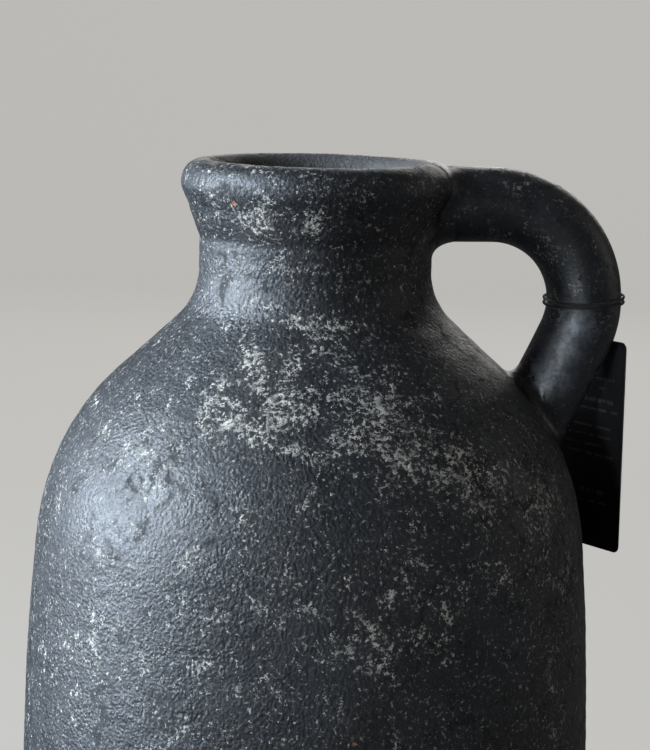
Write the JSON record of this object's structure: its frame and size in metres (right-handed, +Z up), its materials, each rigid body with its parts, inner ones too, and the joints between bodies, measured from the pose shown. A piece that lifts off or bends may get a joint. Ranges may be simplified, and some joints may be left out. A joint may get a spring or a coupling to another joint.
{
  "type": "clay jug",
  "caption": "Round-bodied clay jug with a narrow neck, rolled rim and thick loop handle, black coated over red clay, with a card tag on a cord.",
  "frame": {"origin": "middle of the flat base, on the jug's axis, where it stands", "axes": "+Z up along the jug's axis, +X towards the handle"},
  "size_m": [0.2505, 0.2382, 0.3499],
  "materials": {
    "clay_coat": "satin",
    "clay_coat_rubbed": "satin",
    "black_cord": "matte",
    "black_card": "matte"
  },
  "bodies": {
    "jug": {"base_disc": "clay_coat", "lower_wall": "clay_coat", "upper_wall": "clay_coat", "neck": "clay_coat", "rim": "clay_coat", "handle": "clay_coat_rubbed", "rim_lute": "clay_coat_rubbed", "shoulder_lute": "clay_coat_rubbed"},
    "wrap": {"cord_wrap": "black_cord", "cord_hitch": "black_cord"},
    "drop": {"tag_cord": "black_cord"},
    "tag": {"hang_tag": "black_card"}
  },
  "joints": [
    {"name": "wrap_turn", "type": "hinge", "parent": "jug", "child": "wrap", "pos_m": [0.1125, 0, 0.29388], "axis": [0, 0, 1], "range_deg": [-50, 0]},
    {"name": "drop_swing", "type": "hinge", "parent": "wrap", "child": "drop", "pos_m": [0.12008, 0.01786, 0.28938], "axis": [0.4905, -0.8714, 0], "range_deg": [0, 80]},
    {"name": "tag_sway", "type": "hinge", "parent": "drop", "child": "tag", "pos_m": [0.12008, 0.01786, 0.27118], "axis": [-0.8714, -0.4905, 0], "range_deg": [-0.5, 30]}
  ]
}
